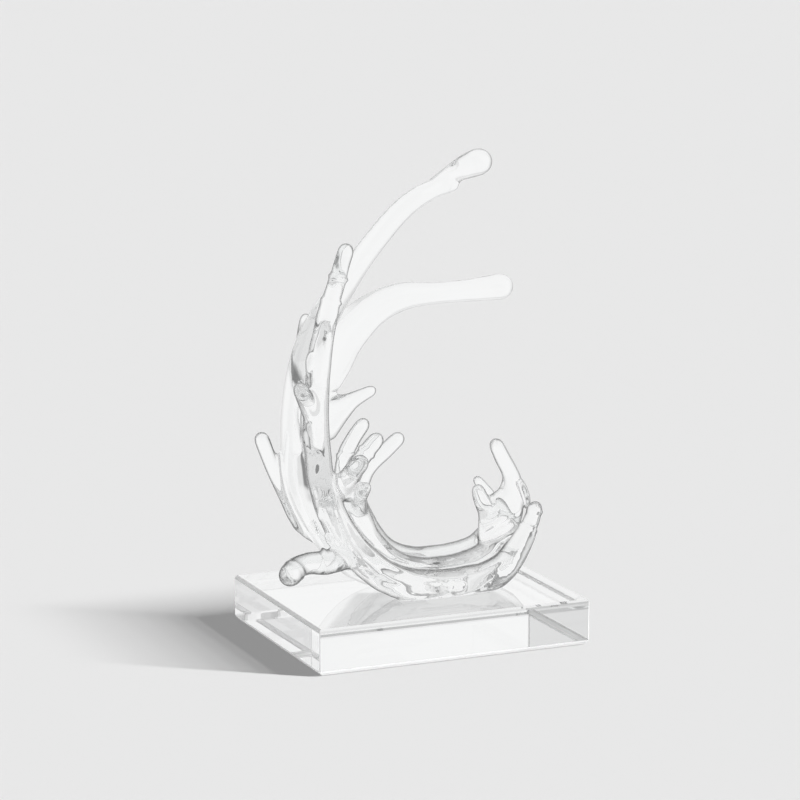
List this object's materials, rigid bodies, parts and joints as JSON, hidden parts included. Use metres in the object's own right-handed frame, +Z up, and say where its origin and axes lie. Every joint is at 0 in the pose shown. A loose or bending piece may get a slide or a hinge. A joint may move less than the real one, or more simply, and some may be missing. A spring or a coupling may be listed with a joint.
{
  "type": "glass wave sculpture",
  "caption": "Clear glass wave splash with curling crests and drop-ended fingers, bonded upright to a bevelled clear crystal block; free-standing desk or shelf ornament.",
  "frame": {"origin": "centre of the crystal block's underside, on the table", "axes": "+Z up, +X along the block's long side towards the low splash, -Y towards the viewer"},
  "size_m": [0.1046, 0.08, 0.1689],
  "materials": {
    "clear_glass": "fire-polished clear glass",
    "crystal_block": "ground and polished clear crystal",
    "clear_adhesive": "clear cured adhesive"
  },
  "bodies": {
    "root": {"back_curl_finger": "clear_glass", "back_knob": "clear_glass", "back_rope": "clear_glass", "back_splash_finger": "clear_glass", "base_block": "crystal_block", "bond_film": "clear_adhesive", "crest_drop": "clear_glass", "foot_finger": "clear_glass", "front_curl_finger": "clear_glass", "front_knob": "clear_glass", "front_rope": "clear_glass", "front_splash_finger": "clear_glass", "left_finger": "clear_glass", "low_curl_stub": "clear_glass", "middle_arm": "clear_glass", "middle_curl_finger": "clear_glass", "middle_rope": "clear_glass", "right_splash_stub": "clear_glass", "tall_crest": "clear_glass", "tall_curl_finger": "clear_glass", "tall_splash_finger": "clear_glass", "web_finger": "clear_glass"}
  },
  "joints": []
}
